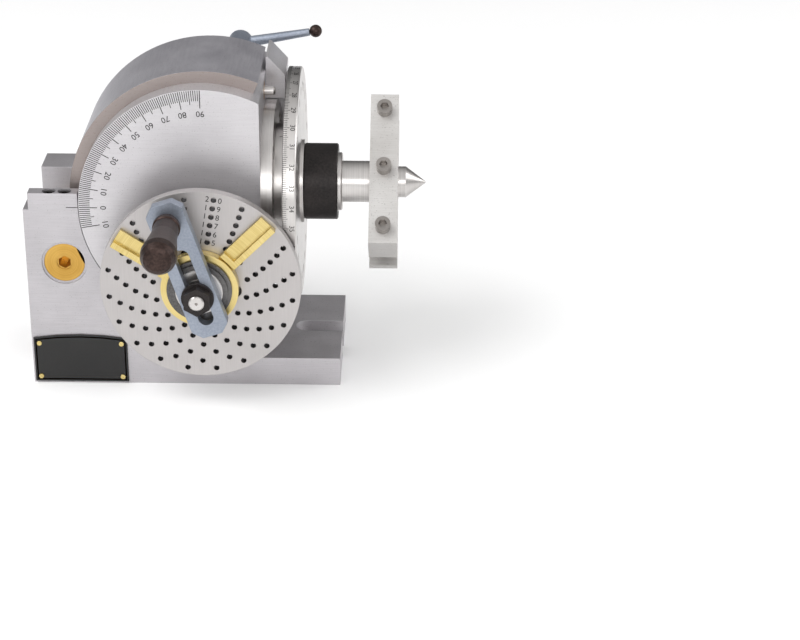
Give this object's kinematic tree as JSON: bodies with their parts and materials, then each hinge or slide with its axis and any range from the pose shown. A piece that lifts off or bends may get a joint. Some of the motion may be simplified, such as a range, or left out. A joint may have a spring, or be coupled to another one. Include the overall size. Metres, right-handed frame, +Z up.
{
  "type": "dividing head",
  "caption": "Tilting dividing head with worm drive, hole-circle index plate, sector arms, crank, direct index plate, centre and driving dog.",
  "frame": {"origin": "on the underside of the base, below the point where the tilt axis crosses the spindle axis", "axes": "+X along the level spindle towards its nose, +Y from the crank side to the lever side, +Z up"},
  "size_m": [0.206, 0.1925, 0.17],
  "materials": {
    "ground_cast_iron": "ground",
    "black_oxide": "satin",
    "black_plate": "gloss",
    "brass": "ground",
    "bright_steel": "turned",
    "bronze": "turned",
    "plate_steel": "ground",
    "spring_steel": "satin",
    "blue_grey_steel": "satin",
    "dark_steel": "satin"
  },
  "bodies": {
    "base": {"base_casting": "ground_cast_iron", "zero_index_block": "ground_cast_iron", "zero_block_screws": "black_oxide", "name_plate": "black_plate", "name_plate_rivets": "brass", "front_clamp_bush": "brass", "rear_clamp_bush": "brass", "clamp_bolt": "black_oxide"},
    "head": {"head_casting": "ground_cast_iron", "hood_band": "ground_cast_iron", "front_cover": "bright_steel", "cover_screws": "black_oxide", "front_bearing_bush": "bronze", "rear_bearing_bush": "bronze", "worm_sleeve": "bright_steel", "worm_rear_bush": "bronze", "worm_end_plug": "black_oxide", "index_plate": "plate_steel", "index_plate_screws": "black_oxide", "sector_spring": "spring_steel", "sector_retaining_ring": "spring_steel", "pin_guide_bush": "bronze"},
    "spindle": {"spindle": "bright_steel", "thrust_washer": "bright_steel", "bearing_nut": "bright_steel", "bearing_lock_nut": "bright_steel", "worm_wheel": "bronze", "wheel_key": "bright_steel", "direct_index_plate": "bright_steel", "thread_protector": "black_oxide", "centre": "bright_steel", "driving_dog": "bright_steel", "dog_screws": "black_oxide"},
    "crank": {"worm_shaft": "bright_steel", "crank_arm": "blue_grey_steel", "crank_washer": "black_oxide", "crank_nut": "black_oxide", "plunger_sleeve": "dark_steel", "sleeve_cap": "dark_steel", "plunger_spring": "spring_steel"},
    "plunger": {"index_handle": "dark_steel", "plunger_pin": "bright_steel"},
    "sector_right": {"sector_arm_right": "brass"},
    "sector_left": {"sector_arm_left": "brass"},
    "direct_pin": {"direct_index_pin": "bright_steel"},
    "pin_lever": {"pin_lever_shaft": "bright_steel", "pin_lever": "blue_grey_steel", "lever_ball": "dark_steel"}
  },
  "joints": [
    {"name": "head_tilt", "type": "hinge", "parent": "base", "child": "head", "pos_m": [0, 0, 0.1], "axis": [0, -1, 0], "range_deg": [-10, 90]},
    {"name": "crank_turn", "type": "hinge", "parent": "head", "child": "crank", "pos_m": [0, -0.06, 0.069], "axis": [0, -1, 0], "continuous": true},
    {"name": "spindle_turn", "type": "hinge", "parent": "head", "child": "spindle", "pos_m": [0, 0, 0.1], "axis": [1, 0, 0], "continuous": true},
    {"name": "handle_pull", "type": "slide", "parent": "crank", "child": "plunger", "axis": [0, 1, 0], "range_m": [0, 0.0044]},
    {"name": "sector_turn", "type": "hinge", "parent": "head", "child": "sector_right", "pos_m": [0, -0.068, 0.069], "axis": [0, -1, 0], "continuous": true},
    {"name": "sector_spread", "type": "hinge", "parent": "sector_right", "child": "sector_left", "pos_m": [0, -0.07, 0.069], "axis": [0, -1, 0], "range_deg": [-70, 180]},
    {"name": "pin_lever_turn", "type": "hinge", "parent": "head", "child": "pin_lever", "pos_m": [0.0125, 0.05, 0.1557], "axis": [0, -1, 0], "range_deg": [0, 73]},
    {"name": "direct_pin_slide", "type": "slide", "parent": "head", "child": "direct_pin", "axis": [1, 0, 0], "range_m": [0, 0.0058]}
  ],
  "couplings": [
    {"joint": "spindle_turn", "follows": "crank_turn", "ratio": 0.025},
    {"joint": "direct_pin_slide", "follows": "pin_lever_turn", "m_per_rad": 0.0045}
  ]
}
